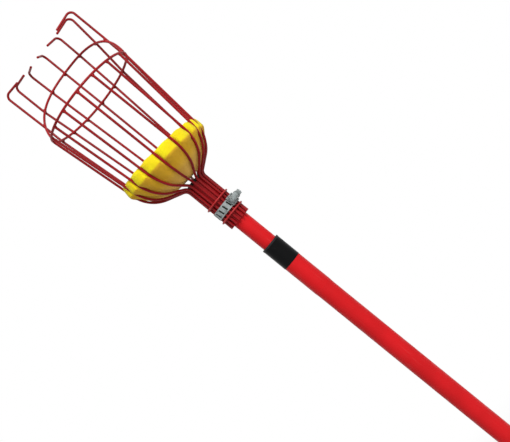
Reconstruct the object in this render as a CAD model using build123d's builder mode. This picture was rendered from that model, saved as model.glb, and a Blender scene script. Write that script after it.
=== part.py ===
from build123d import *
import os
from math import cos, radians, sin, sqrt, tan

# Telescopic fruit picker, in millimetres, drawn with the pole closed and its lock released.
# +Z runs up the pole to the mouth of the basket and +Y is the side with the picking fingers.
# The origin is on the pole's axis, at the lower end face of the outer tube.

# Gaps between pieces that are fixed to each other, and between pieces that move
seat_gap = 0.05
weld_gap = 0.2
rest_gap = 0.3

# Pole tubes: the outer tube is opened out at its upper end, where the inner tube slides in
outer_length = 1000.0
inner_diameter = 25.0
inner_wall = 1.0
outer_wall = 1.0
tube_gap = 1.0
bell_length = 92.0
bell_taper = 6.0
bell_growth = 0.4
bare_length = 53.0

# Guide bush in the opened-out end, and the bare label band below its lip
bush_depth = 35.0
bush_flange = 3.0
bush_lip = 0.5
bush_clearance = 0.1
label_height = 37.0
label_thickness = 0.25

# End cap with a hanging tab
cap_plug_length = 22.0
cap_flange = 3.0
cap_inset = 0.2
tab_length = 26.0
tab_width = 20.0
tab_thickness = 8.0
hang_hole_diameter = 8.0

# Twist lock inside the outer tube, from the end cap upwards
stud_diameter = 8.0
stud_tail = 2.5
stud_hold = 8.0
retainer_height = 5.0
retainer_flats = 13.0
wedge_length = 16.0
wedge_show = 5.7
wedge_angle = 10.0
wedge_gap = 0.1
wedge_lift = 3.0
wedge_key_width = 1.8
expander_length = 32.0
expander_clearance = 0.25
expander_wall = 2.1
expander_roof = 4.0
expander_split = 2.4
plug_flange = 3.0
plug_length = 19.0
plug_pin_diameter = 4.0
plug_pin_height = 13.0
top_plug_length = 14.0
top_plug_flange = 4.5

# Neck of the basket: the wires stand round a split sleeve on the end of the inner tube
neck_grip = 80.0
neck_length = 82.0
sleeve_wall = 2.1
sleeve_split = 2.0
wire_diameter = 3.6
wire_places = 16
finger_side = 3
neck_bend = 10.0
neck_hoop_wire = 2.4
hoop_below_clamp = 4.9
hoop_above_clamp = 9.0

# Basket: shoulder, rim ring and the raised hoop behind the fingers, a little off the pole's axis
basket_shift = -1.2
shoulder_radius = 66.0
shoulder_rise = 25.5
shoulder_bend = 48.0
ring_radius = 79.3
ring_rise = 162.6
hoop_height = 72.4
hoop_power = 2.2
hoop_turn = 3.0
hoop_foot = 3.1
hoop_spans = 8
wire_easing = 120.0

# Wires: bent by hand, so each is turned by its own degrees at the shoulder and at the rim ring.
# The fingers run from -X to +X, and the side wires on from there round the back.
finger_feet = [-2.5, 2.9, 1.2, 0.3, 0.0, -2.1, 0.0]
finger_waists = [1.4, 0.9, 0.0, -0.3, 0.0, -1.9, 0.0]
side_feet = [10.0, 1.9, -4.9, -5.0, -1.1, -0.4, -2.0, -6.1, -9.0]
side_heads = [8.0, -1.3, 0.0, -0.2, -1.0, -0.3, -0.5, -1.1, -8.0]

# Fingers: each has its own lean in degrees, height, stand off the line of the basket's side, and hook
finger_leans = [4.5, -0.5, -0.6, -0.6, 0.0, 1.7, -4.3]
finger_rises = [105.9, 109.4, 113.8, 116.2, 114.5, 114.3, 110.2]
finger_stands = [-3.5, -3.9, 0.6, -0.6, -1.1, 3.0, -5.0]
finger_dips = [8.5, 10.0, 10.0, 10.0, 10.0, 14.5, 10.0]
finger_lengths = [31.0, 37.0, 37.0, 37.0, 37.0, 39.5, 36.5]
finger_bend = 7.5
finger_turn = 8.0
wire_tip_round = 1.0

# Foam cushion: sits askew on the shoulder and bulges out between the wires
foam_bulge = 5.6
foam_floor_radius = 28.0
foam_floor_lift = 10.0
foam_corner_rise = 22.0
foam_edge = 17.5
foam_edge_lean = 2.0
foam_dish = 7.0
foam_dish_slope = 22.0
foam_rim_width = 11.0
foam_soft_bend = 12.0
foam_crease = 3.0
foam_crest = 5.0
foam_belly_inset = 14.0
foam_belly_drop = 0.5
foam_tilt = 5.5
foam_nod = 2.0
foam_shift = -3.8
foam_groove_width = 6.0
foam_groove_depth = 25.0
groove_start = 0.1

# Worm-drive clamp round the neck
clamp_height = 25.7
clamp_angle = 132.0
clamp_width = 12.7
band_thickness = 0.7
band_clearance = 0.1
band_groove_width = 2.4
band_groove_length = 8.8
band_groove_depth = 0.45
band_groove_count = 7
band_groove_start = -168.0
band_groove_range = 144.0
band_groove_slant = 7.0
tail_sweep = 62.0
housing_length = 15.0
housing_back = 6.5
housing_width = 14.6
housing_wall = 1.1
housing_roof = 1.4
worm_diameter = 6.6
worm_core = 5.0
worm_pitch = 1.6
worm_ridge = 0.8
worm_clearance = 0.35
screw_neck_diameter = 4.8
screw_collar_diameter = 10.6
screw_collar_height = 1.6
screw_head_flats = 8.0
screw_head_length = 7.3
screw_head_chamfer = 0.9
screw_slot_width = 1.3
screw_slot_depth = 2.6

# Radii and levels that follow from the sizes above
inner_r = inner_diameter / 2
inner_bore = inner_r - inner_wall
outer_bore = inner_r + tube_gap
outer_r = outer_bore + outer_wall
bell_bore = outer_bore + bell_growth
bell_r = outer_r + bell_growth
stud_r = stud_diameter / 2
wire_r = wire_diameter / 2

stud_foot = cap_plug_length + rest_gap
retainer_foot = stud_foot + stud_tail
wedge_foot = retainer_foot + retainer_height + rest_gap
expander_foot = wedge_foot + wedge_show
plug_foot = expander_foot + expander_length + rest_gap
inner_foot = plug_foot + plug_flange + seat_gap
stud_top = plug_foot + plug_flange + stud_hold
bush_top = outer_length + bush_flange
neck_foot = bush_top + bare_length
inner_top = neck_foot + neck_grip

sleeve_bore = inner_r + seat_gap
sleeve_r = sleeve_bore + sleeve_wall
neck_wire_radius = sleeve_r + weld_gap + wire_r
neck_outer_r = neck_wire_radius + wire_r
flare_level = neck_foot + neck_length
shoulder_level = flare_level + shoulder_rise
ring_level = shoulder_level + ring_rise
clamp_level = neck_foot + clamp_height
place_angle = 360 / wire_places
basket_taper = (ring_radius - shoulder_radius) / ring_rise
wire_lap = wire_diameter + weld_gap
lap_radius = ring_radius + wire_lap

os.makedirs("parts", exist_ok=True)


def place(radius, angle, level):
    """A point of the basket: angle in degrees from the finger side, towards +X."""
    return Vector(radius * sin(radians(angle)), radius * cos(radians(angle)), level)


def basket_place(radius, angle, level):
    """A point that lies round the basket's own axis."""
    return place(radius, angle, level) + Vector(basket_shift, 0, 0)


def ring_profile(inner, outer, bottom, top):
    """A rectangle in the XZ plane, to be turned about Z into a tube."""
    with Locations(((inner + outer) / 2, (bottom + top) / 2)):
        Rectangle(outer - inner, top - bottom)


# Outer tube: round tube, opened out at its upper end
bell_foot = outer_length - bell_length
with BuildPart() as outer_tube:
    with BuildSketch(Plane.XZ):
        with BuildLine():
            Polyline(
                (outer_bore, 0),
                (outer_r, 0),
                (outer_r, bell_foot - bell_taper),
                (bell_r, bell_foot),
                (bell_r, outer_length),
                (bell_bore, outer_length),
                (bell_bore, bell_foot),
                (outer_bore, bell_foot - bell_taper),
                close=True,
            )
        make_face()
    revolve(axis=Axis.Z)
outer_tube.part.label = "outer_tube"
export_step(outer_tube.part, "parts/outer_tube.step")

# End cap: plug, flange and a rounded tab with the hanging hole
tab_foot = -cap_flange - tab_length
hole_level = tab_foot + tab_width / 2
with BuildPart() as end_cap:
    with BuildSketch(Plane.XY.offset(-cap_flange)):
        Circle(outer_r - cap_inset)
    extrude(amount=cap_flange)
    with BuildSketch(Plane.XY):
        Circle(outer_bore - seat_gap)
    extrude(amount=cap_plug_length)
    with BuildSketch(Plane.XZ.offset(-tab_thickness / 2)):
        with Locations((0, (hole_level - cap_flange) / 2)):
            Rectangle(tab_width, -cap_flange - hole_level)
        with Locations((0, hole_level)):
            Circle(tab_width / 2)
    extrude(amount=tab_thickness)
    with BuildSketch(Plane.XZ.offset(-tab_thickness / 2)):
        with Locations((0, hole_level)):
            Circle(hang_hole_diameter / 2)
    extrude(amount=tab_thickness, mode=Mode.SUBTRACT)
end_cap.part.label = "end_cap"
export_step(end_cap.part, "parts/end_cap.step")

# Guide bush: lipped ring that the inner tube slides in
with BuildPart() as guide_bush:
    with BuildSketch(Plane.XZ):
        ring_profile(inner_r + bush_clearance, bell_r + bush_lip, outer_length, bush_top)
        ring_profile(inner_r + bush_clearance, bell_bore - seat_gap, outer_length - bush_depth, outer_length)
    revolve(axis=Axis.Z)
guide_bush.part.label = "guide_bush"
export_step(guide_bush.part, "parts/guide_bush.step")

# Label band: bare wrap round the end of the outer tube
with BuildPart() as label_band:
    with BuildSketch(Plane.XZ):
        label_bore = bell_r + seat_gap
        ring_profile(label_bore, label_bore + label_thickness, outer_length - label_height, outer_length)
    revolve(axis=Axis.Z)
label_band.part.label = "label_band"
export_step(label_band.part, "parts/label_band.step")

# Inner tube, with a cross hole for the pin of the lock plug
pin_level = plug_foot + plug_flange + plug_pin_height
with BuildPart() as inner_tube:
    with BuildSketch(Plane.XZ):
        ring_profile(inner_bore, inner_r, inner_foot, inner_top)
    revolve(axis=Axis.Z)
    with BuildSketch(Plane.YZ.offset(-inner_r)):
        with Locations((0, pin_level)):
            Circle(plug_pin_diameter / 2 + seat_gap)
    extrude(amount=2 * inner_r, mode=Mode.SUBTRACT)
inner_tube.part.label = "inner_tube"
export_step(inner_tube.part, "parts/inner_tube.step")

# Plug that closes the upper end of the inner tube
with BuildPart() as top_plug:
    with BuildSketch(Plane.XY.offset(inner_top - top_plug_length)):
        Circle(inner_bore - seat_gap)
    extrude(amount=top_plug_length + seat_gap)
    with BuildSketch(Plane.XY.offset(inner_top + seat_gap)):
        Circle(inner_r - seat_gap)
    extrude(amount=top_plug_flange)
top_plug.part.label = "top_plug"
export_step(top_plug.part, "parts/top_plug.step")

# Lock plug: pinned into the lower end of the inner tube, holds the stud
with BuildPart() as lock_plug:
    with BuildSketch(Plane.XY.offset(plug_foot)):
        Circle(inner_r - seat_gap)
    extrude(amount=plug_flange)
    with BuildSketch(Plane.XY.offset(plug_foot)):
        Circle(inner_bore - seat_gap)
    extrude(amount=plug_flange + plug_length)
    with BuildSketch(Plane.XY.offset(plug_foot)):
        Circle(stud_r + seat_gap)
    extrude(amount=plug_flange + stud_hold + seat_gap, mode=Mode.SUBTRACT)
    with BuildSketch(Plane.YZ.offset(-inner_r)):
        with Locations((0, pin_level)):
            Circle(plug_pin_diameter / 2 + seat_gap)
    extrude(amount=2 * inner_r, mode=Mode.SUBTRACT)
lock_plug.part.label = "lock_plug"
export_step(lock_plug.part, "parts/lock_plug.step")

# Cross pin: through the inner tube and the lock plug, flush with the tube
pin_half = sqrt(inner_r**2 - (plug_pin_diameter / 2) ** 2) - seat_gap
with BuildPart() as plug_pin:
    with BuildSketch(Plane.YZ.offset(-pin_half)):
        with Locations((0, pin_level)):
            Circle(plug_pin_diameter / 2)
    extrude(amount=2 * pin_half)
plug_pin.part.label = "plug_pin"
export_step(plug_pin.part, "parts/plug_pin.step")

# Stud: its coarse thread draws the wedge up when the inner tube is turned
with BuildPart() as lock_stud:
    with BuildSketch(Plane.XY.offset(stud_foot)):
        Circle(stud_r)
    extrude(amount=stud_top - stud_foot)
lock_stud.part.label = "lock_stud"
export_step(lock_stud.part, "parts/lock_stud.step")

# Retainer: six-sided nut that keeps the wedge on the stud
with BuildPart() as stud_retainer:
    with BuildSketch(Plane.XY.offset(retainer_foot)):
        RegularPolygon(retainer_flats / 2, 6, major_radius=False)
        Circle(stud_r + seat_gap, mode=Mode.SUBTRACT)
    extrude(amount=retainer_height)
stud_retainer.part.label = "stud_retainer"
export_step(stud_retainer.part, "parts/stud_retainer.step")

# Expander: split collar with a tapered mouth for the wedge
expander_r = outer_bore - expander_clearance
mouth_r = expander_r - expander_wall
wedge_slope = tan(radians(wedge_angle))
taper_depth = wedge_length - wedge_show + wedge_lift + rest_gap
taper_r = mouth_r - wedge_slope * taper_depth
expander_top = expander_foot + expander_length
with BuildPart() as lock_expander:
    with BuildSketch(Plane.XZ):
        with BuildLine():
            Polyline(
                (mouth_r, expander_foot),
                (expander_r, expander_foot),
                (expander_r, expander_top),
                (stud_r + rest_gap, expander_top),
                (stud_r + rest_gap, expander_top - expander_roof),
                (taper_r, expander_top - expander_roof),
                (taper_r, expander_foot + taper_depth),
                close=True,
            )
        make_face()
    revolve(axis=Axis.Z)
    with BuildSketch(Plane.XY.offset(expander_foot)):
        with Locations((outer_bore / 2, 0)):
            Rectangle(outer_bore, expander_split)
    extrude(amount=expander_length, mode=Mode.SUBTRACT)
lock_expander.part.label = "lock_expander"
export_step(lock_expander.part, "parts/lock_expander.step")

# Wedge: tapered nut on the stud, with a key in the expander's split so that it can't turn
wedge_foot_r = mouth_r - wedge_slope * (wedge_lift - wedge_show) - wedge_gap
wedge_top_r = wedge_foot_r - wedge_slope * wedge_length
key_r = expander_r - expander_clearance
with BuildPart() as lock_wedge:
    with BuildSketch(Plane.XZ):
        with BuildLine():
            Polyline(
                (stud_r + wedge_gap, wedge_foot),
                (wedge_foot_r, wedge_foot),
                (wedge_top_r, wedge_foot + wedge_length),
                (stud_r + wedge_gap, wedge_foot + wedge_length),
                close=True,
            )
        make_face()
    revolve(axis=Axis.Z)
    with BuildSketch(Plane.XY.offset(wedge_foot)):
        with Locations(((wedge_top_r + key_r) / 2 - wedge_gap, 0)):
            Rectangle(key_r - wedge_top_r + 2 * wedge_gap, wedge_key_width)
    extrude(amount=wedge_length)
lock_wedge.part.label = "lock_wedge"
export_step(lock_wedge.part, "parts/lock_wedge.step")

# Neck sleeve: split socket on the end of the inner tube, inside the ring of wires
with BuildPart() as neck_sleeve:
    with BuildSketch(Plane.XY.offset(neck_foot)):
        Circle(sleeve_r)
        Circle(sleeve_bore, mode=Mode.SUBTRACT)
        with Locations((0, sleeve_r / 2)):
            Rectangle(sleeve_split, sleeve_r, mode=Mode.SUBTRACT)
    extrude(amount=neck_grip)
neck_sleeve.part.label = "neck_sleeve"
export_step(neck_sleeve.part, "parts/neck_sleeve.step")

# Neck hoops: two wire rings that bind the wires, above and below the clamp
hoop_wire_r = neck_hoop_wire / 2
neck_hoop_levels = {
    "neck_hoop_lower": clamp_level - clamp_width / 2 - hoop_below_clamp,
    "neck_hoop_upper": clamp_level + clamp_width / 2 + hoop_above_clamp,
}
for node, level in neck_hoop_levels.items():
    with BuildPart(Plane.XY.offset(level)) as neck_hoop:
        Torus(neck_outer_r + weld_gap + hoop_wire_r, hoop_wire_r)
    neck_hoop.part.label = node
    export_step(neck_hoop.part, f"parts/{node}.step")

# Rim ring of the basket
with BuildPart(Plane((basket_shift, 0, ring_level))) as rim_ring:
    Torus(ring_radius, wire_r)
rim_ring.part.label = "rim_ring"
export_step(rim_ring.part, "parts/rim_ring.step")


def hoop_rise(angle):
    """Height of the finger hoop over the rim ring, angle in degrees from the hoop's middle."""
    return hoop_height * (1 - abs(angle / 90) ** hoop_power)


def hoop_radius(rise):
    """The hoop carries on the basket's taper."""
    return ring_radius + basket_taper * rise


def hoop_point(angle):
    rise = hoop_rise(angle)
    return basket_place(hoop_radius(rise), angle + hoop_turn, ring_level + rise)


def hoop_direction(angle):
    step = 0.01
    return (hoop_point(angle + step) - hoop_point(angle - step)).normalized()


def two_arcs(start, start_dir, end, end_dir):
    """Two arcs that meet smoothly and leave and arrive along the given directions."""
    span = end - start
    spread = start_dir + end_dir
    a = 2 * start_dir.dot(end_dir) - 2
    b = -2 * span.dot(spread)
    c = span.dot(span)
    reach = (-b - sqrt(b * b - 4 * a * c)) / (2 * a)
    near = start + start_dir * reach
    far = end - end_dir * reach
    joint = (near + far) / 2
    TangentArc(start, joint, tangent=start_dir)
    TangentArc(joint, end, tangent=(far - near).normalized())


# Finger hoop: bent wire that stands on the rim ring behind the fingers
hoop_end = 90 * (1 - hoop_foot / hoop_height) ** (1 / hoop_power)
hoop_angles = [hoop_end * (2 * n / hoop_spans - 1) for n in range(hoop_spans + 1)]
with BuildPart() as finger_hoop:
    with BuildLine():
        for low, high in zip(hoop_angles[:-1], hoop_angles[1:]):
            two_arcs(hoop_point(low), hoop_direction(low), hoop_point(high), hoop_direction(high))
    with BuildSketch(Plane(origin=hoop_point(-hoop_end), z_dir=hoop_direction(-hoop_end))):
        Circle(wire_r)
    sweep()
finger_hoop.part.label = "finger_hoop"
export_step(finger_hoop.part, "parts/finger_hoop.step")


# Basket wires: up the neck, out over the shoulder and up the side of the basket
side_wire_top = ring_level - wire_r - 2 * weld_gap


def wire_solid(route, radii, tip_round):
    """A round wire along straight runs joined by arcs, with its last end rounded."""
    with BuildPart() as wire:
        with BuildLine() as path:
            FilletPolyline(*route, radius=radii)
        with BuildSketch(Plane(origin=path.line @ 0, z_dir=path.line % 0)):
            Circle(wire_r)
        sweep()
        if tip_round:
            tip_edge = wire.edges().filter_by(GeomType.CIRCLE).sort_by_distance(path.line @ 1)[0]
            fillet(tip_edge, tip_round)
    return wire


def side_route(number):
    """Corners of one side wire, numbered from 0 next to the last finger on the +X side."""
    angle = (finger_side + 1 + number) * place_angle
    return [
        place(neck_wire_radius, angle, neck_foot),
        place(neck_wire_radius, angle, flare_level),
        basket_place(shoulder_radius, angle + side_feet[number], shoulder_level),
        basket_place(ring_radius, angle + side_heads[number], side_wire_top),
    ]


def finger_route(number):
    """Corners of one finger wire, numbered from 0 at the -X side."""
    angle = (number - finger_side) * place_angle
    lean = angle + finger_leans[number]
    hoop_level = hoop_rise(lean - hoop_turn)
    hoop_lap = hoop_radius(hoop_level) + wire_lap + weld_gap
    rise = finger_rises[number]
    top = basket_place(lap_radius + basket_taper * rise + finger_stands[number], lean, ring_level + rise)
    dip = radians(finger_dips[number])
    length = finger_lengths[number]
    tip_angle = angle + finger_turn if angle >= 0 else angle
    return [
        place(neck_wire_radius, angle, neck_foot),
        place(neck_wire_radius, angle, flare_level),
        basket_place(shoulder_radius, angle + finger_feet[number], shoulder_level),
        basket_place(lap_radius, angle + finger_waists[number], ring_level),
        basket_place(hoop_lap, lean, ring_level + hoop_level),
        top,
        top - place(length * cos(dip), tip_angle, length * sin(dip)),
    ]


wire_routes = []
for number in range(2 * finger_side + 1):
    bends = [neck_bend, shoulder_bend, wire_easing, wire_easing, finger_bend]
    wire_routes.append(finger_route(number))
    finger_wire = wire_solid(wire_routes[-1], bends, wire_tip_round)
    node = f"finger_wire_{number + 1}"
    finger_wire.part.label = node
    export_step(finger_wire.part, f"parts/{node}.step")

for number in range(wire_places - 2 * finger_side - 1):
    wire_routes.append(side_route(number))
    side_wire = wire_solid(wire_routes[-1], [neck_bend, shoulder_bend], 0)
    node = f"side_wire_{number + 1}"
    side_wire.part.label = node
    export_step(side_wire.part, f"parts/{node}.step")

# Foam cushion: dished pad, tilted on the shoulder
foam_corner_r = shoulder_radius + foam_bulge
foam_floor = flare_level + foam_floor_lift
foam_corner = shoulder_level + foam_corner_rise
foam_rim = foam_corner + foam_edge
foam_rim_r = foam_corner_r - foam_edge_lean
foam_dish_r = foam_rim_r - foam_rim_width
with BuildPart() as foam_blank:
    with BuildSketch(Plane.XZ):
        with BuildLine():
            FilletPolyline(
                (0, foam_floor),
                (foam_floor_radius, foam_floor),
                (shoulder_radius - foam_belly_inset, shoulder_level - foam_belly_drop),
                (foam_corner_r, foam_corner),
                (foam_rim_r, foam_rim),
                (foam_dish_r, foam_rim),
                (foam_dish_r - foam_dish_slope, foam_rim - foam_dish),
                (0, foam_rim - foam_dish),
                radius=[foam_soft_bend, foam_soft_bend, foam_crease, foam_crest, foam_crest, foam_soft_bend],
            )
            Line((0, foam_rim - foam_dish), (0, foam_floor))
        make_face()
    revolve(axis=Axis.Z)
tilt_place = Location((basket_shift + foam_shift, 0, shoulder_level), (foam_nod, foam_tilt, 0))
tilted_foam = foam_blank.part.moved(tilt_place * Location((0, 0, -shoulder_level)))


def groove_solid(flare, shoulder, top):
    """The channel that one wire presses into the foam: a slot along the wire, open to the outside."""
    lower = shoulder - flare
    bend_plane = Plane(shoulder, x_dir=lower, z_dir=lower.cross(top - shoulder))
    upper = bend_plane.to_local_coords(top)
    lower_in = Vector(0, 1)
    upper_in = upper.normalized().rotate(Axis.Z, 90)
    miter = (lower_in + upper_in) / (1 + lower_in.dot(upper_in))
    inset = wire_r + rest_gap
    start = Vector((groove_start - 1) * lower.length, 0)
    with BuildPart() as groove:
        with BuildSketch(bend_plane):
            with BuildLine():
                FilletPolyline(
                    start + lower_in * inset,
                    miter * inset,
                    upper + upper_in * inset,
                    radius=shoulder_bend - inset,
                )
                Polyline(
                    upper + upper_in * inset,
                    upper - upper_in * foam_groove_depth,
                    miter * -foam_groove_depth,
                    start - lower_in * foam_groove_depth,
                    start + lower_in * inset,
                )
            make_face()
        extrude(amount=foam_groove_width / 2, both=True)
    return groove.part


# Each wire presses a channel into the foam
with BuildPart() as foam_cushion:
    add(tilted_foam)
    add([groove_solid(*route[1:4]) for route in wire_routes], mode=Mode.SUBTRACT)
foam_cushion.part.label = "foam_cushion"
export_step(foam_cushion.part, "parts/foam_cushion.step")

# Clamp: its own plane has X out through the housing and Y along the screw, towards the head
clamp_turn = radians(clamp_angle)
clamp_plane = Plane(origin=(0, 0, clamp_level), x_dir=(sin(clamp_turn), cos(clamp_turn), 0), z_dir=(0, 0, 1))
band_bore = neck_outer_r + band_clearance
band_r = band_bore + band_thickness
tail_r = band_r + band_thickness
screw_x = tail_r + worm_clearance + worm_diameter / 2

# Clamp band: strip with pressed grooves, its free tail lying over it past the housing
with BuildPart(clamp_plane) as clamp_band:
    with BuildSketch(clamp_plane.offset(-clamp_width / 2)):
        Circle(band_r)
        Circle(band_bore, mode=Mode.SUBTRACT)
        with BuildLine():
            CenterArc((0, 0), tail_r, 0, tail_sweep)
            CenterArc((0, 0), band_r - seat_gap, 0, tail_sweep)
            Line((tail_r, 0), (band_r - seat_gap, 0))
            Line(
                (tail_r * cos(radians(tail_sweep)), tail_r * sin(radians(tail_sweep))),
                (
                    (band_r - seat_gap) * cos(radians(tail_sweep)),
                    (band_r - seat_gap) * sin(radians(tail_sweep)),
                ),
            )
        make_face()
    extrude(amount=clamp_width)
    with PolarLocations(band_r, band_groove_count, band_groove_start, band_groove_range, endpoint=True):
        Box(
            2 * band_groove_depth,
            band_groove_width,
            band_groove_length,
            rotation=(band_groove_slant, 0, 0),
            mode=Mode.SUBTRACT,
        )
clamp_band.part.label = "clamp_band"
export_step(clamp_band.part, "parts/clamp_band.step")

# Clamp housing: pressed saddle over the band, arched over the worm
channel_roof = tail_r + weld_gap
arch_r = worm_diameter / 2 + worm_clearance + housing_wall
housing_plane = Plane(
    origin=clamp_plane.from_local_coords((0, -housing_back, 0)),
    x_dir=clamp_plane.x_dir,
    z_dir=clamp_plane.y_dir,
)
with BuildPart() as clamp_housing:
    with BuildSketch(housing_plane):
        shoulder_x = channel_roof + housing_roof
        with Locations(((band_bore + shoulder_x) / 2, 0)):
            Rectangle(shoulder_x - band_bore, housing_width)
        with Locations(((band_bore + screw_x) / 2, 0)):
            Rectangle(screw_x - band_bore, 2 * arch_r)
        with Locations((screw_x, 0)):
            Circle(arch_r)
        with Locations(((band_bore + channel_roof) / 2, 0)):
            Rectangle(channel_roof - band_bore, clamp_width + 2 * band_clearance, mode=Mode.SUBTRACT)
    extrude(amount=housing_length)
    with BuildSketch(housing_plane):
        with Locations((screw_x, 0)):
            Circle(worm_diameter / 2 + worm_clearance)
    extrude(amount=housing_length - housing_wall, mode=Mode.SUBTRACT)
    with BuildSketch(housing_plane):
        with Locations((screw_x, 0)):
            Circle(screw_neck_diameter / 2 + worm_clearance)
    extrude(amount=housing_length, mode=Mode.SUBTRACT)
clamp_housing.part.label = "clamp_housing"
export_step(clamp_housing.part, "parts/clamp_housing.step")

# Clamp screw: ridged worm, neck, collar and a slotted six-sided head
worm_length = housing_length - housing_wall - 2 * rest_gap
worm_foot = rest_gap - housing_back
collar_foot = housing_length - housing_back + rest_gap
head_foot = collar_foot + screw_collar_height
head_end = head_foot + screw_head_length
ridge_count = int(worm_length / worm_pitch)
screw_plane = Plane(
    origin=clamp_plane.from_local_coords((screw_x, 0, 0)),
    x_dir=clamp_plane.x_dir,
    z_dir=clamp_plane.y_dir,
)
with BuildPart() as clamp_screw:
    with BuildSketch(screw_plane.offset(worm_foot)):
        Circle(worm_core / 2)
    extrude(amount=worm_length)
    for ridge in range(ridge_count):
        with BuildSketch(screw_plane.offset(worm_foot + ridge * worm_pitch)):
            Circle(worm_diameter / 2)
        extrude(amount=worm_ridge)
    with BuildSketch(screw_plane.offset(worm_foot)):
        Circle(screw_neck_diameter / 2)
    extrude(amount=head_foot - worm_foot)
    with BuildSketch(screw_plane.offset(collar_foot)):
        Circle(screw_collar_diameter / 2)
    extrude(amount=screw_collar_height)
    with BuildSketch(screw_plane.offset(head_foot)):
        RegularPolygon(screw_head_flats / 2, 6, major_radius=False)
    extrude(amount=screw_head_length)
    head_face = clamp_screw.faces().sort_by(Axis(screw_plane.origin, screw_plane.z_dir))[-1]
    chamfer(head_face.edges(), screw_head_chamfer)
    with BuildSketch(screw_plane.offset(head_end - screw_slot_depth)):
        Rectangle(2 * screw_head_flats, screw_slot_width)
    extrude(amount=screw_slot_depth, mode=Mode.SUBTRACT)
clamp_screw.part.label = "clamp_screw"
export_step(clamp_screw.part, "parts/clamp_screw.step")
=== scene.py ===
import math

import bpy
from mathutils import Matrix, Vector, noise
from mathutils.bvhtree import BVHTree


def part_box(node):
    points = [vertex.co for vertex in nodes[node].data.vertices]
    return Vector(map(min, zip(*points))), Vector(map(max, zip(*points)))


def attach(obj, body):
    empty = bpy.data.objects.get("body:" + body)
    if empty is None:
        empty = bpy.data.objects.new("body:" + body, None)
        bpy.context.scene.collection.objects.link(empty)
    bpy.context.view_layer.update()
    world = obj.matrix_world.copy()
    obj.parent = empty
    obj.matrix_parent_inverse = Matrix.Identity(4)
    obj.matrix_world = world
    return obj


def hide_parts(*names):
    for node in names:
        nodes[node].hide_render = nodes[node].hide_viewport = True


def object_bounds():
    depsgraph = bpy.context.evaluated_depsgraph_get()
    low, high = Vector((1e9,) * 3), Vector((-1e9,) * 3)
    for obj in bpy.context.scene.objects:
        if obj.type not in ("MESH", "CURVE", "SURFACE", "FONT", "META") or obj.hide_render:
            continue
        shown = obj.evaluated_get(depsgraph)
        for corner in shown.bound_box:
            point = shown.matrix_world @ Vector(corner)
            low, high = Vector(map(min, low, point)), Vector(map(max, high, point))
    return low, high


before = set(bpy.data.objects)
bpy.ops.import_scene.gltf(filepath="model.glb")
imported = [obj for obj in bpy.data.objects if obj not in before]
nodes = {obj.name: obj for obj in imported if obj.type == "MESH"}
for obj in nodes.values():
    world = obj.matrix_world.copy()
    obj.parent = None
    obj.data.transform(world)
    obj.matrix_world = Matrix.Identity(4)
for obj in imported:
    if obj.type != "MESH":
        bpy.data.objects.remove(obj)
cad_box = [list(corner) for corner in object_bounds()]
scene = bpy.context.scene
scene.view_settings.view_transform = "Standard"


# Camera: level with the bare stretch of the inner tube, facing the side that is away from the fingers,
# and rolled so that the pole runs from the upper left down to the lower right.
picture_width = 510
focal_pixels = 865
eye_distance = 1.208
aim_height = 1.0384
aim_aside = 0.011
roll = math.radians(39.1)
sight = Vector((-0.0576, 0.998, 0.0)).normalized()
across = Vector((sight.y, -sight.x, 0.0))
up_pole = Vector((0.0, 0.0, 1.0))
picture_right = math.sin(roll) * across - math.cos(roll) * up_pole
picture_up = math.sin(roll) * up_pole + math.cos(roll) * across
aim = aim_height * up_pole + aim_aside * across
eye = aim - eye_distance * sight
camera_turn = Matrix((picture_right, picture_up, -sight)).transposed().to_4x4()
bpy.ops.object.camera_add()
camera = bpy.context.object
camera.name = "camera"
camera.matrix_world = Matrix.Translation(eye) @ camera_turn
camera.data.sensor_fit = "HORIZONTAL"
camera.data.sensor_width = 36.0
camera.data.lens = camera.data.sensor_width * focal_pixels / picture_width
camera.data.clip_end = 60.0
scene.camera = camera


# Outer tube: thin-walled steel tube, opened out at its upper end, with a bright red sprayed coat.
# The coat is a little uneven, and it has fine rub marks along the tube from hands and storage.
def new_finish(name):
    """A new material, its node tree and its shader."""
    finish = bpy.data.materials.new(name)
    finish.use_nodes = True
    tree = finish.node_tree
    return finish, tree, tree.nodes["Principled BSDF"]


def new_effect(name, inputs, outputs):
    """A new node group with named sockets, and its input and output nodes."""
    effect = bpy.data.node_groups.new(name, "ShaderNodeTree")
    for label, kind, value in inputs:
        socket = effect.interface.new_socket(label, in_out="INPUT", socket_type="NodeSocket" + kind)
        socket.default_value = value
    for label, kind in outputs:
        effect.interface.new_socket(label, in_out="OUTPUT", socket_type="NodeSocket" + kind)
    return effect, effect.nodes.new("NodeGroupInput"), effect.nodes.new("NodeGroupOutput")


def place_effect(tree, effect, values):
    """A node group placed in a material, with that material's own values."""
    node = tree.nodes.new("ShaderNodeGroup")
    node.node_tree = effect
    for label, value in values.items():
        node.inputs[label].default_value = value
    return node


def grain(tree, scale, detail=2.0, rough=0.5, stretch=None):
    """A noise pattern on Object coordinates, its features one over the scale in metres."""
    where = tree.nodes.new("ShaderNodeTexCoord")
    pattern = tree.nodes.new("ShaderNodeTexNoise")
    pattern.inputs["Scale"].default_value = scale
    pattern.inputs["Detail"].default_value = detail
    pattern.inputs["Roughness"].default_value = rough
    if stretch:
        mapping = tree.nodes.new("ShaderNodeMapping")
        mapping.inputs["Scale"].default_value = stretch
        tree.links.new(where.outputs["Object"], mapping.inputs["Vector"])
        tree.links.new(mapping.outputs["Vector"], pattern.inputs["Vector"])
    else:
        tree.links.new(where.outputs["Object"], pattern.inputs["Vector"])
    return pattern.outputs["Fac"]


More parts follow.
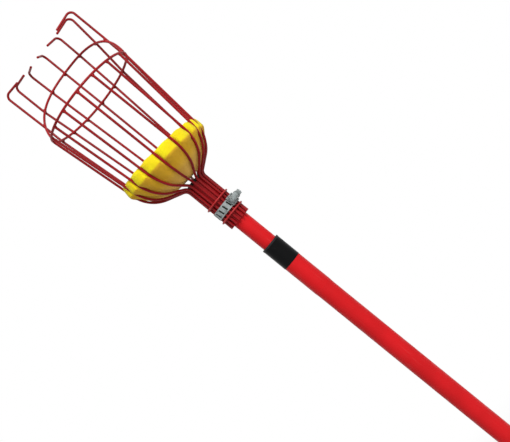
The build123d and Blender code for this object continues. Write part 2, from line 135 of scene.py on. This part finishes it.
def spread(tree, value, low, high, to_low=0.0, to_high=1.0):
    """Brings a value's range from low to high to the wanted limits, with soft ends."""
    node = tree.nodes.new("ShaderNodeMapRange")
    node.interpolation_type = "SMOOTHSTEP"
    limits = {"From Min": low, "From Max": high, "To Min": to_low, "To Max": to_high}
    for label, number in limits.items():
        node.inputs[label].default_value = number
    tree.links.new(value, node.inputs["Value"])
    return node.outputs["Result"]


def blend_colour(tree, factor, first, second):
    """A mix of two colours, each of them fixed or from another node."""
    node = tree.nodes.new("ShaderNodeMix")
    node.data_type = "RGBA"
    tree.links.new(factor, node.inputs["Factor"])
    sockets = [socket for socket in node.inputs if socket.type == "RGBA"]
    for socket, colour in zip(sockets, (first, second)):
        if isinstance(colour, tuple):
            socket.default_value = colour
        else:
            tree.links.new(colour, socket)
    return next(socket for socket in node.outputs if socket.type == "RGBA")


def combine(tree, operation, first, second=0.0):
    """A sum, product or other result of two values, each of them fixed or from another node."""
    node = tree.nodes.new("ShaderNodeMath")
    node.operation = operation
    for socket, value in zip(node.inputs, (first, second)):
        if isinstance(value, (int, float)):
            socket.default_value = value
        else:
            tree.links.new(value, socket)
    return node.outputs["Value"]


def raise_surface(tree, shader, height, distance):
    """Fine relief, as deep as the distance in metres."""
    bump = tree.nodes.new("ShaderNodeBump")
    bump.inputs["Distance"].default_value = distance
    bump.inputs["Strength"].default_value = 1.0
    tree.links.new(height, bump.inputs["Height"])
    tree.links.new(bump.outputs["Normal"], shader.inputs["Normal"])


def dress(node, finish):
    """Gives a CAD node its material."""
    nodes[node].data.materials.clear()
    nodes[node].data.materials.append(finish)


paint_coat, coat_in, coat_out = new_effect(
    "paint coat",
    [
        ("Paint", "Color", (0.6, 0.01, 0.02, 1.0)),
        ("Thin coat", "Color", (0.4, 0.01, 0.02, 1.0)),
        ("Bare metal", "Color", (0.3, 0.3, 0.3, 1.0)),
        ("Rubbing", "Float", 0.2),
        ("Chipping", "Float", 0.1),
    ],
    [("Color", "Color"), ("Roughness", "Float"), ("Height", "Float"), ("Bare", "Float")],
)
rubbed_red = (0.78, 0.16, 0.15, 1.0)
chip_limit = 0.86
peel_share = 0.25
rub_dulling = 0.3
along_pole = (1.0, 1.0, 0.025)
coat_clouds = spread(paint_coat, grain(paint_coat, scale=22.0, detail=3.0), 0.35, 0.65)
coat_colour = blend_colour(paint_coat, coat_clouds, coat_in.outputs["Paint"], coat_in.outputs["Thin coat"])
rub_lines = spread(paint_coat, grain(paint_coat, scale=900.0, rough=0.6, stretch=along_pole), 0.56, 0.72)
rub_places = spread(paint_coat, grain(paint_coat, scale=16.0), 0.45, 0.65)
rubbed = combine(paint_coat, "MULTIPLY", rub_lines, rub_places)
rubbed = combine(paint_coat, "MULTIPLY", rubbed, coat_in.outputs["Rubbing"])
coat_colour = blend_colour(paint_coat, rubbed, coat_colour, rubbed_red)
chip_edge = combine(paint_coat, "SUBTRACT", chip_limit, coat_in.outputs["Chipping"])
chip_grain = grain(paint_coat, scale=260.0, detail=6.0, rough=0.66)
chips = combine(paint_coat, "GREATER_THAN", chip_grain, chip_edge)
coat_colour = blend_colour(paint_coat, chips, coat_colour, coat_in.outputs["Bare metal"])
peel = combine(paint_coat, "MULTIPLY", grain(paint_coat, scale=700.0, detail=1.0), peel_share)
coat_height = combine(paint_coat, "SUBTRACT", peel, chips)
coat_gloss = spread(paint_coat, grain(paint_coat, scale=60.0, detail=4.0), 0.3, 0.7, 0.34, 0.5)
coat_gloss = combine(paint_coat, "ADD", coat_gloss, combine(paint_coat, "MULTIPLY", rubbed, rub_dulling))
paint_coat.links.new(coat_colour, coat_out.inputs["Color"])
paint_coat.links.new(coat_gloss, coat_out.inputs["Roughness"])
paint_coat.links.new(coat_height, coat_out.inputs["Height"])
paint_coat.links.new(chips, coat_out.inputs["Bare"])


def painted_finish(name, values, peel_depth, gloss):
    """Paint on steel, bare metal where it is chipped."""
    finish, tree, shader = new_finish(name)
    coat = place_effect(tree, paint_coat, values)
    tree.links.new(coat.outputs["Color"], shader.inputs["Base Color"])
    tree.links.new(coat.outputs["Roughness"], shader.inputs["Roughness"])
    tree.links.new(coat.outputs["Bare"], shader.inputs["Metallic"])
    raise_surface(tree, shader, coat.outputs["Height"], peel_depth)
    shader.inputs["Specular IOR Level"].default_value = gloss
    return finish


pole_red = painted_finish(
    "pole_red_paint",
    {
        "Paint": (0.70, 0.010, 0.014, 1.0),
        "Thin coat": (0.62, 0.009, 0.012, 1.0),
        "Bare metal": (0.34, 0.30, 0.29, 1.0),
        "Rubbing": 0.25,
        "Chipping": 0.0,
    },
    peel_depth=0.00012,
    gloss=0.14,
)
dress("outer_tube", pole_red)


# End cap: soft black moulding pushed into the foot of the pole, with a tab and a hole to hang it up.
# Its edges are rounded by the mould, and its skin has the fine grain of the tool.
smooth_angle = math.radians(40.0)


def merged_copy(node, name):
    """A copy of a CAD node as a piece of its own, with its loose triangles joined up."""
    bpy.ops.object.select_all(action="DESELECT")
    piece = bpy.data.objects.new(name, nodes[node].data.copy())
    scene.collection.objects.link(piece)
    piece.data.materials.clear()
    bpy.context.view_layer.objects.active = piece
    piece.select_set(True)
    bpy.ops.object.mode_set(mode="EDIT")
    bpy.ops.mesh.select_all(action="SELECT")
    bpy.ops.mesh.customdata_custom_splitnormals_clear()
    bpy.ops.mesh.remove_doubles(threshold=0.000002)
    bpy.ops.object.mode_set(mode="OBJECT")
    return piece


def rounded_copy(node, name, width):
    """A copy of a CAD node with its sharp edges rounded as pressing or moulding leaves them."""
    piece = merged_copy(node, name)
    bpy.ops.object.mode_set(mode="EDIT")
    bpy.ops.mesh.select_all(action="SELECT")
    bpy.ops.mesh.dissolve_limited(angle_limit=math.radians(0.5))
    bpy.ops.object.mode_set(mode="OBJECT")
    rounding = piece.modifiers.new("rounding", "BEVEL")
    rounding.width = width
    rounding.segments = 3
    rounding.limit_method = "ANGLE"
    rounding.angle_limit = math.radians(35.0)
    rounding.use_clamp_overlap = True
    bpy.ops.object.modifier_apply(modifier=rounding.name)
    bpy.ops.object.shade_smooth_by_angle(angle=smooth_angle)
    return piece


moulded_skin, skin_in, skin_out = new_effect(
    "moulded skin",
    [("Colour", "Color", (0.01, 0.01, 0.01, 1.0)), ("Scuffs", "Color", (0.05, 0.05, 0.05, 1.0))],
    [("Color", "Color"), ("Roughness", "Float"), ("Height", "Float")],
)
scuff_grain = grain(moulded_skin, scale=340.0, detail=5.0, rough=0.7, stretch=(1.0, 1.0, 0.2))
scuff_marks = spread(moulded_skin, scuff_grain, 0.55, 0.75)
skin_tones = (skin_in.outputs["Colour"], skin_in.outputs["Scuffs"])
skin_colour = blend_colour(moulded_skin, scuff_marks, *skin_tones)
skin_gloss = spread(moulded_skin, grain(moulded_skin, scale=120.0, detail=3.0), 0.3, 0.7, 0.42, 0.62)
moulded_skin.links.new(skin_colour, skin_out.inputs["Color"])
moulded_skin.links.new(skin_gloss, skin_out.inputs["Roughness"])
moulded_skin.links.new(grain(moulded_skin, scale=2400.0), skin_out.inputs["Height"])


def moulded_finish(name, colour, scuffs, depth):
    """Moulded plastic with the tool's fine grain and a few scuffs."""
    finish, tree, shader = new_finish(name)
    skin = place_effect(tree, moulded_skin, {"Colour": colour, "Scuffs": scuffs})
    tree.links.new(skin.outputs["Color"], shader.inputs["Base Color"])
    tree.links.new(skin.outputs["Roughness"], shader.inputs["Roughness"])
    raise_surface(tree, shader, skin.outputs["Height"], depth)
    shader.inputs["Specular IOR Level"].default_value = 0.2
    return finish


black_moulding = moulded_finish(
    "black_moulding",
    colour=(0.012, 0.012, 0.013, 1.0),
    scuffs=(0.05, 0.05, 0.05, 1.0),
    depth=0.00006,
)
end_cap = rounded_copy("end_cap", "hanging_cap", width=0.0009)
end_cap.data.materials.append(black_moulding)
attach(end_cap, "pole")
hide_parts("end_cap")


# Guide bush: black nylon ring in the opened-out end, whose lip covers the tube's cut edge.
# The inner tube slides through it.
guide_bush = rounded_copy("guide_bush", "sliding_bush", width=0.0004)
guide_bush.data.materials.append(black_moulding)
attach(guide_bush, "pole")
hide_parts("guide_bush")


# Label band: plain black film wrapped once round the tube's end.
# It lies tight, with a faint ripple, and its two ends lap at the back.
film_black = (0.0030, 0.0031, 0.0034, 1.0)
film_worn = (0.012, 0.0125, 0.013, 1.0)
label_film, film_tree, film_shader = new_finish("black_label_film")
film_ripple = grain(film_tree, scale=95.0, stretch=(1.0, 1.0, 0.45))
film_wear = spread(film_tree, grain(film_tree, scale=420.0, detail=5.0, rough=0.7), 0.58, 0.74)
film_colour = blend_colour(film_tree, film_wear, film_black, film_worn)
film_gloss = spread(film_tree, film_ripple, 0.3, 0.7, 0.24, 0.42)
film_tree.links.new(film_colour, film_shader.inputs["Base Color"])
film_tree.links.new(film_gloss, film_shader.inputs["Roughness"])
raise_surface(film_tree, film_shader, film_ripple, distance=0.0004)
film_shader.inputs["Specular IOR Level"].default_value = 0.08
dress("label_band", label_film)

film_low, film_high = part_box("label_band")
film_middle = (film_low.z + film_high.z) / 2
film_gap = 0.00006
lap_radius = film_high.x + film_gap
lap_margin = 0.0003
lap_height = film_high.z - film_low.z - 2 * lap_margin
lap_width = 0.008
lap_angle = math.radians(105.0)
lap_lift = 0.00005
lap_waves = 6.0
lap_seed = 3.0
bpy.ops.object.select_all(action="DESELECT")
bpy.ops.mesh.primitive_grid_add(x_subdivisions=10, y_subdivisions=14, size=1.0)
label_lap = bpy.context.object
label_lap.name = "label_lap"
for vertex in label_lap.data.vertices:
    turn = lap_angle + vertex.co.x * lap_width / lap_radius
    wave = max(0.0, noise.noise(Vector((0.0, vertex.co.y * lap_waves, lap_seed))))
    reach = lap_radius + lap_lift * wave * (vertex.co.x + 0.5)
    level = film_middle + vertex.co.y * lap_height
    vertex.co = Vector((reach * math.cos(turn), reach * math.sin(turn), level))
thickness = label_lap.modifiers.new("film", "SOLIDIFY")
thickness.thickness = 0.00012
thickness.offset = 1.0
bpy.ops.object.modifier_apply(modifier=thickness.name)
bpy.ops.object.shade_smooth_by_angle(angle=smooth_angle)
label_lap.data.materials.append(label_film)
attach(label_lap, "pole")


# Inner tube: the same red tube in the next size down, which slides out of the pole.
# A black plug closes its upper end, inside the neck of the basket.
dress("inner_tube", pole_red)
dress("top_plug", black_moulding)


# Twist lock: a stud in the foot of the inner tube draws a nylon wedge into a split nylon collar,
# which then grips the outer tube from inside. A nut keeps the wedge on, and a pin holds the plug.
rolled_steel, steel_in, steel_out = new_effect(
    "rolled steel",
    [
        ("Steel", "Color", (0.6, 0.6, 0.6, 1.0)),
        ("Tarnish", "Color", (0.3, 0.3, 0.3, 1.0)),
        ("Shine", "Float", 0.3),
    ],
    [("Color", "Color"), ("Roughness", "Float"), ("Height", "Float")],
)
stain_dulling = 0.2
roll_depth = 0.00004
roll_lines = grain(rolled_steel, scale=1500.0, detail=3.0, rough=0.6, stretch=(0.12, 0.12, 1.0))
stain_clouds = spread(rolled_steel, grain(rolled_steel, scale=190.0, detail=5.0, rough=0.62), 0.42, 0.66)
steel_tones = (steel_in.outputs["Steel"], steel_in.outputs["Tarnish"])
steel_colour = blend_colour(rolled_steel, stain_clouds, *steel_tones)
steel_gloss = combine(rolled_steel, "MULTIPLY", stain_clouds, stain_dulling)
steel_gloss = combine(rolled_steel, "ADD", steel_in.outputs["Shine"], steel_gloss)
rolled_steel.links.new(steel_colour, steel_out.inputs["Color"])
rolled_steel.links.new(steel_gloss, steel_out.inputs["Roughness"])
rolled_steel.links.new(roll_lines, steel_out.inputs["Height"])


def steel_finish(name, steel, tarnish, shine):
    """Bare rolled steel with a little tarnish."""
    finish, tree, shader = new_finish(name)
    surface = place_effect(tree, rolled_steel, {"Steel": steel, "Tarnish": tarnish, "Shine": shine})
    tree.links.new(surface.outputs["Color"], shader.inputs["Base Color"])
    tree.links.new(surface.outputs["Roughness"], shader.inputs["Roughness"])
    raise_surface(tree, shader, surface.outputs["Height"], roll_depth)
    shader.inputs["Metallic"].default_value = 1.0
    return finish


lock_steel = steel_finish(
    "plain_lock_steel",
    steel=(0.58, 0.58, 0.57, 1.0),
    tarnish=(0.36, 0.35, 0.33, 1.0),
    shine=0.28,
)
lock_nylon = moulded_finish(
    "white_nylon",
    colour=(0.76, 0.76, 0.73, 1.0),
    scuffs=(0.60, 0.59, 0.55, 1.0),
    depth=0.00005,
)
dress("lock_plug", black_moulding)
for node in ("plug_pin", "lock_stud", "stud_retainer"):
    dress(node, lock_steel)
for node in ("lock_expander", "lock_wedge"):
    dress(node, lock_nylon)


# Basket wires: sixteen steel wires round a split sleeve, bent out over the shoulder and up the sides.
# Nine end under the rim ring and seven run on as picking fingers, all dipped in dark red paint.
# Two thinner hoops bind them at the neck, in a more rubbed coat painted brighter as a painted highlight.
dip_depth = 0.0002
wire_steel = (0.30, 0.27, 0.26, 1.0)
wire_red = painted_finish(
    "wire_red_dip",
    {
        "Paint": (0.33, 0.006, 0.009, 1.0),
        "Thin coat": (0.25, 0.005, 0.007, 1.0),
        "Bare metal": wire_steel,
        "Rubbing": 0.12,
        "Chipping": 0.02,
    },
    peel_depth=dip_depth,
    gloss=0.18,
)
# Painted highlight: the neck hoops get a lighter copy of the wire paint for the light they catch
hoop_red_highlit = painted_finish(
    "neck_hoop_red_painted_highlight",
    {
        "Paint": (0.52, 0.030, 0.030, 1.0),
        "Thin coat": (0.42, 0.018, 0.020, 1.0),
        "Bare metal": wire_steel,
        "Rubbing": 0.35,
        "Chipping": 0.03,
    },
    peel_depth=dip_depth,
    gloss=0.25,
)
finger_nodes = sorted(node for node in nodes if node.startswith("finger_wire_"))
side_nodes = sorted(node for node in nodes if node.startswith("side_wire_"))
neck_hoops = ("neck_hoop_lower", "neck_hoop_upper")
for node in finger_nodes + side_nodes + ["neck_sleeve", "rim_ring", "finger_hoop"]:
    dress(node, wire_red)
for node in neck_hoops:
    dress(node, hoop_red_highlit)


# Weld beads: a small lump of weld under the paint wherever a wire meets a ring or the hoop.
# They were laid by hand, so no two are quite alike.
surfaces = {}
wire_end_depth = 0.0008


def touch(first, second, side=0.0):
    """Where two nodes come nearest: the middle of the gap, and the way from the first to the second.

    A side of -1 or 1 keeps to the first node's half with negative or positive X.
    """
    if second not in surfaces:
        surfaces[second] = BVHTree.FromObject(nodes[second], bpy.context.evaluated_depsgraph_get())
    nearest = None
    for vertex in nodes[first].data.vertices:
        if vertex.co.x * side >= 0.0:
            spot, normal, face, gap = surfaces[second].find_nearest(vertex.co)
            if nearest is None or gap < nearest[0]:
                nearest = (gap, vertex.co.copy(), spot, normal)
    return (nearest[1] + nearest[2]) / 2, -nearest[3]


def wire_top(node):
    """The middle of a side wire's upper end, and the way down from it."""
    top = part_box(node)[1].z
    edge = [vertex.co for vertex in nodes[node].data.vertices if vertex.co.z > top - wire_end_depth]
    return sum(edge, Vector()) / len(edge), -up_pole


bpy.ops.object.select_all(action="DESELECT")
bpy.ops.mesh.primitive_ico_sphere_add(subdivisions=3, radius=1.0)
bead = bpy.context.object
bead.name = "weld_bead"
bpy.ops.object.mode_set(mode="EDIT")
bpy.ops.transform.vertex_random(offset=0.10, uniform=0.3, normal=0.7, seed=4)
bpy.ops.mesh.vertices_smooth(factor=0.5, repeat=2)
bpy.ops.object.mode_set(mode="OBJECT")
bpy.ops.object.shade_smooth()
bead_turn = 1.3
bead_variety = 0.14
bead_seed_step = 3.7
least_upward = 0.3


def lay_beads(name, spots, size, inset=0.0):
    """Copies of the bead at the given places, each flattened along its own direction, as one piece."""
    laid = []
    for number, (spot, facing) in enumerate(spots):
        outward = Vector((spot.x, spot.y, 0.0)).normalized()
        spot = spot - outward * inset
        upward = up_pole - facing * up_pole.dot(facing)
        upward = upward.normalized() if upward.length > least_upward else outward
        sideways = upward.cross(facing).normalized()
        vary = 1.0 + bead_variety * noise.noise(Vector((number * bead_seed_step, len(name), 0.5)))
        sides = (sideways * size[0] * vary, upward * size[1] / vary, facing * size[2])
        copy = bead.copy()
        copy.data = bead.data.copy()
        scene.collection.objects.link(copy)
        copy.data.transform(Matrix.Rotation(number * bead_turn, 4, "Z"))
        copy.data.transform(Matrix.Translation(spot) @ Matrix(sides).transposed().to_4x4())
        laid.append(copy)
    bpy.ops.object.select_all(action="DESELECT")
    for copy in laid:
        copy.select_set(True)
    bpy.context.view_layer.objects.active = laid[0]
    bpy.ops.object.join()
    welds = bpy.context.object
    welds.name = name
    welds.data.materials.clear()
    welds.data.materials.append(wire_red)
    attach(welds, "head")


crossing_size = (0.0033, 0.0033, 0.0016)
side_size = (0.0030, 0.0019, 0.0024)
hoop_foot_size = (0.0046, 0.0030, 0.0026)
neck_size = (0.0021, 0.0020, 0.0010)
lay_beads("rim_welds", [touch("rim_ring", node) for node in finger_nodes], crossing_size)
lay_beads("side_welds", [wire_top(node) for node in side_nodes], side_size, inset=0.0003)
lay_beads("hoop_welds", [touch("finger_hoop", node) for node in finger_nodes], crossing_size)
hoop_feet = [touch("finger_hoop", "rim_ring", side) for side in (-1.0, 1.0)]
lay_beads("hoop_foot_welds", hoop_feet, hoop_foot_size, inset=0.0013)
for hoop in neck_hoops:
    lay_beads(hoop + "_welds", [touch(hoop, node) for node in finger_nodes + side_nodes], neck_size)
bpy.data.objects.remove(bead)


# Foam cushion: a thick disc of open-cell yellow foam pressed down into the shoulder of the basket.
# It bulges out between the wires, and each wire lies in a soft channel.
foam_cell = 0.0016
foam = merged_copy("foam_cushion", "foam_pad")
cells = foam.modifiers.new("cells", "REMESH")
cells.mode = "VOXEL"
cells.voxel_size = foam_cell
bpy.ops.object.modifier_apply(modifier=cells.name)
softening = foam.modifiers.new("softening", "SMOOTH")
softening.factor = 0.5
softening.iterations = 14
bpy.ops.object.modifier_apply(modifier=softening.name)

wire_points = []
wire_faces = []
for node in finger_nodes + side_nodes:
    start = len(wire_points)
    wire_points += [vertex.co.copy() for vertex in nodes[node].data.vertices]
    wire_faces += [[start + corner for corner in face.vertices] for face in nodes[node].data.polygons]
wires = BVHTree.FromPolygons(wire_points, wire_faces)


def ease(value):
    """Rises from 0 to 1 with soft ends."""
    value = min(1.0, max(0.0, value))
    return value * value * (3.0 - 2.0 * value)


# Swelling: full on the sides, nothing on the upper and lower faces or close to a wire
foam_low, foam_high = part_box("foam_cushion")
foam_middle = (foam_low + foam_high) / 2
foam_swell = 0.0016
flat_limit = 0.1
side_limit = 0.6
channel_edge = 0.0015
swell_width = 0.009
dent_depth = 0.0005
dent_scale = 55.0
crumb_depth = 0.0002
crumb_scale = 190.0
facings = [vertex.normal.copy() for vertex in foam.data.vertices]
for vertex, facing in zip(foam.data.vertices, facings):
    spot, normal, face, gap = wires.find_nearest(vertex.co)
    outward = Vector((vertex.co.x - foam_middle.x, vertex.co.y - foam_middle.y, 0.0)).normalized()
    sideways = ease((facing.dot(outward) - flat_limit) / (side_limit - flat_limit))
    swell = foam_swell * ease((gap - channel_edge) / swell_width) * sideways
    dents = dent_depth * noise.noise(vertex.co * dent_scale)
    crumbs = crumb_depth * noise.noise(vertex.co * crumb_scale)
    vertex.co += facing * (swell + dents + crumbs)
settling = foam.modifiers.new("settling", "SMOOTH")
settling.factor = 0.5
settling.iterations = 5
bpy.ops.object.modifier_apply(modifier=settling.name)

# Channels: what still touches a wire is pressed in until it is clear
foam_clear = 0.00025
press_step = 0.0002
most_steps = 24
press_rise = 0.01
press_aim = foam_middle + press_rise * up_pole
for vertex in foam.data.vertices:
    for step in range(most_steps):
        spot, normal, face, gap = wires.find_nearest(vertex.co)
        if gap > foam_clear and (vertex.co - spot).dot(normal) > 0.0:
            break
        vertex.co += (press_aim - vertex.co).normalized() * press_step
bpy.ops.object.shade_smooth()

# Pores: fine pits, painted a little darker inside as painted shade, in a yellow that is painted darker and
# browner on faces that look down, as painted shade, with a lighter, more orange painted shade at the foot
foam_lemon = (0.96, 0.86, 0.010, 1.0)
foam_golden = (0.95, 0.76, 0.011, 1.0)
pore_shade = (0.92, 0.56, 0.010, 1.0)
underside_shade = (0.83, 0.44, 0.026, 1.0)
foot_shade = (0.98, 0.60, 0.13, 1.0)
foot_start = foam_low.z + 0.024
foot_full = foam_low.z + 0.004
pore_tint_share = 0.26
foam_yellow, foam_tree, foam_shader = new_finish("yellow_foam")
foam_where = foam_tree.nodes.new("ShaderNodeTexCoord")
pores = foam_tree.nodes.new("ShaderNodeTexVoronoi")
pores.inputs["Scale"].default_value = 1250.0
pores.inputs["Randomness"].default_value = 1.0
foam_tree.links.new(foam_where.outputs["Object"], pores.inputs["Vector"])
# Painted shade: the pits are darker inside, for the shade that falls in the open cells
pore_pits = spread(foam_tree, pores.outputs["Distance"], 0.75, 0.30)
pore_tint = combine(foam_tree, "MULTIPLY", pore_pits, pore_tint_share)
foam_clouds = spread(foam_tree, grain(foam_tree, scale=34.0, detail=4.0), 0.35, 0.65)
foam_colour = blend_colour(foam_tree, foam_clouds, foam_lemon, foam_golden)
foam_colour = blend_colour(foam_tree, pore_tint, foam_colour, pore_shade)
foam_surface = foam_tree.nodes.new("ShaderNodeNewGeometry")
foam_facing = foam_tree.nodes.new("ShaderNodeSeparateXYZ")
foam_tree.links.new(foam_surface.outputs["Normal"], foam_facing.inputs["Vector"])
# Painted shade: faces that look down take the darker, browner underside colour, for the shade under the
# cushion
underside = spread(foam_tree, foam_facing.outputs["Z"], -0.02, -0.42, 0.0, 0.9)
foam_colour = blend_colour(foam_tree, underside, foam_colour, underside_shade)
foam_level = foam_tree.nodes.new("ShaderNodeSeparateXYZ")
foam_tree.links.new(foam_where.outputs["Object"], foam_level.inputs["Vector"])
# Painted shade: near the foot the underside colour turns lighter and more orange
foam_foot = spread(foam_tree, foam_level.outputs["Z"], foot_start, foot_full, 0.0, 0.9)
foam_colour = blend_colour(foam_tree, foam_foot, foam_colour, foot_shade)
foam_tree.links.new(foam_colour, foam_shader.inputs["Base Color"])
foam_gloss = spread(foam_tree, pores.outputs["Distance"], 0.0, 0.6, 0.82, 0.95)
foam_tree.links.new(foam_gloss, foam_shader.inputs["Roughness"])
foam_nap = combine(foam_tree, "SUBTRACT", grain(foam_tree, scale=260.0, detail=4.0), pore_pits)
raise_surface(foam_tree, foam_shader, foam_nap, distance=0.00022)
foam_shader.inputs["Specular IOR Level"].default_value = 0.15
foam_shader.inputs["Sheen Weight"].default_value = 0.08
foam.data.materials.append(foam_yellow)
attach(foam, "head")
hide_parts("foam_cushion")


# Worm-drive clamp: grooved steel strip, pressed housing and a slotted six-sided screw, zinc plated.
# It squeezes the wires and their sleeve onto the inner tube.
zinc_values = {"Steel": (0.33, 0.37, 0.37, 1.0), "Tarnish": (0.17, 0.19, 0.185, 1.0), "Shine": 0.30}
# Painted shade colour for the clamp's corners and hollows
corner_shade_colour = (0.030, 0.032, 0.030, 1.0)
# Painted shade colour for the strip's grooves
groove_shade = (0.014, 0.017, 0.014, 1.0)


def zinc_finish(name):
    """Dull zinc plating on rolled steel, and its colour, painted darker in the corners as painted shade.
    """
    finish, tree, shader = new_finish(name)
    surface = place_effect(tree, rolled_steel, zinc_values)
    # Painted shade: the colour darkens where corners and hollows of the same piece would shade it
    corners = tree.nodes.new("ShaderNodeAmbientOcclusion")
    corners.only_local = True
    corners.samples = 8
    corners.inputs["Distance"].default_value = 0.003
    corner_shade_mask = spread(tree, corners.outputs["AO"], 0.95, 0.45, 0.0, 0.92)
    colour = blend_colour(tree, corner_shade_mask, surface.outputs["Color"], corner_shade_colour)
    dull = spread(tree, grain(tree, scale=240.0, detail=4.0, rough=0.6), 0.40, 0.64, 0.55, 0.25)
    tree.links.new(surface.outputs["Roughness"], shader.inputs["Roughness"])
    tree.links.new(dull, shader.inputs["Metallic"])
    shader.inputs["Specular IOR Level"].default_value = 0.2
    raise_surface(tree, shader, surface.outputs["Height"], roll_depth)
    return finish, tree, shader, colour


clamp_zinc, zinc_tree, zinc_shader, zinc_colour = zinc_finish("zinc_plated_steel")
zinc_tree.links.new(zinc_colour, zinc_shader.inputs["Base Color"])

# Painted shade in the strip's grooves, which lie below its outer face and end short of its edges
strip_low, strip_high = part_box("clamp_band")
strip_radius = -strip_low.x
strip_middle = (strip_low.z + strip_high.z) / 2
groove_half = 0.0046
groove_step = 0.0002
groove_start = strip_radius - groove_step
groove_full = strip_radius - 2 * groove_step
strip_zinc, strip_tree, strip_shader, strip_colour = zinc_finish("zinc_plated_strip")
strip_where = strip_tree.nodes.new("ShaderNodeTexCoord")
strip_place = strip_tree.nodes.new("ShaderNodeSeparateXYZ")
strip_tree.links.new(strip_where.outputs["Object"], strip_place.inputs["Vector"])
squares = [combine(strip_tree, "POWER", strip_place.outputs[axis], 2.0) for axis in "XY"]
strip_reach = combine(strip_tree, "SQRT", combine(strip_tree, "ADD", *squares))
sunk = spread(strip_tree, strip_reach, groove_start, groove_full)
strip_level = combine(strip_tree, "SUBTRACT", strip_place.outputs["Z"], strip_middle)
strip_level = combine(strip_tree, "ABSOLUTE", strip_level)
inside = combine(strip_tree, "LESS_THAN", strip_level, groove_half)
grooves = combine(strip_tree, "MULTIPLY", sunk, inside)
strip_colour = blend_colour(strip_tree, grooves, strip_colour, groove_shade)
strip_tree.links.new(strip_colour, strip_shader.inputs["Base Color"])
dress("clamp_band", strip_zinc)

clamp_housing = rounded_copy("clamp_housing", "pressed_housing", width=0.0005)
clamp_housing.data.materials.append(clamp_zinc)
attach(clamp_housing, "head")
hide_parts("clamp_housing")
clamp_screw = rounded_copy("clamp_screw", "slotted_screw", width=0.00025)
clamp_screw.data.materials.append(clamp_zinc)
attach(clamp_screw, "screw")
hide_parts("clamp_screw")


# Floor: plain pale ground under the foot of the pole, white where the camera sees it from afar.
# Close to the pole it takes the object's shadow.
floor_drop = 0.0005
shadow_reach = 0.6
white_reach = 1.9
near_white = 0.35


def seen_itself(tree):
    """A mask of 1 where the surface is seen by the camera, in a mirror or through glass."""
    path = tree.nodes.new("ShaderNodeLightPath")
    seen = combine(tree, "MAXIMUM", path.outputs["Is Camera Ray"], path.outputs["Is Glossy Ray"])
    return combine(tree, "MAXIMUM", seen, path.outputs["Is Transmission Ray"])


bpy.ops.object.select_all(action="DESELECT")
bpy.ops.mesh.primitive_plane_add(size=40.0, location=(0.0, 0.0, cad_box[0][2] - floor_drop))
floor = bpy.context.object
floor.name = "floor"
floor_pale, floor_tree, floor_shader = new_finish("pale_floor")
floor_shader.inputs["Roughness"].default_value = 0.9
floor_shader.inputs["Base Color"].default_value = (0.70, 0.70, 0.70, 1.0)
floor_shader.inputs["Specular IOR Level"].default_value = 0.0
floor_white = floor_tree.nodes.new("ShaderNodeEmission")
floor_where = floor_tree.nodes.new("ShaderNodeTexCoord")
floor_far = floor_tree.nodes.new("ShaderNodeVectorMath")
floor_far.operation = "LENGTH"
floor_tree.links.new(floor_where.outputs["Object"], floor_far.inputs[0])
far_white = spread(floor_tree, floor_far.outputs["Value"], shadow_reach, white_reach, near_white, 1.0)
floor_seen = combine(floor_tree, "MULTIPLY", far_white, seen_itself(floor_tree))
floor_mix = floor_tree.nodes.new("ShaderNodeMixShader")
floor_tree.links.new(floor_seen, floor_mix.inputs["Fac"])
floor_tree.links.new(floor_shader.outputs["BSDF"], floor_mix.inputs[1])
floor_tree.links.new(floor_white.outputs["Emission"], floor_mix.inputs[2])
floor_tree.links.new(floor_mix.outputs["Shader"], floor_tree.nodes["Material Output"].inputs["Surface"])
floor.data.materials.append(floor_pale)


# Light: one large soft box high up behind the camera, on the +X side, and an even dim room round it.
# The room is white where it is seen or mirrored.
soft_box_place = (1.1, -2.25, 3.3)
soft_box_aim = Vector((0.0, 0.0, 1.1))
white = (1.0, 1.0, 1.0, 1.0)
bpy.ops.object.light_add(type="AREA", location=soft_box_place)
soft_box = bpy.context.object
soft_box.name = "soft_box"
soft_box.data.shape = "SQUARE"
soft_box.data.size = 1.8
soft_box.data.energy = 109.0
soft_box.rotation_euler = (soft_box_aim - soft_box.location).to_track_quat("-Z", "Y").to_euler()

room = bpy.data.worlds.new("room")
scene.world = room
room.use_nodes = True
room_tree = room.node_tree
room_dim = room_tree.nodes["Background"]
room_dim.inputs["Color"].default_value = white
room_dim.inputs["Strength"].default_value = 0.34
room_white = room_tree.nodes.new("ShaderNodeBackground")
room_white.inputs["Color"].default_value = white
room_mix = room_tree.nodes.new("ShaderNodeMixShader")
room_tree.links.new(seen_itself(room_tree), room_mix.inputs["Fac"])
room_tree.links.new(room_dim.outputs["Background"], room_mix.inputs[1])
room_tree.links.new(room_white.outputs["Background"], room_mix.inputs[2])
room_tree.links.new(room_mix.outputs["Shader"], room_tree.nodes["World Output"].inputs["Surface"])
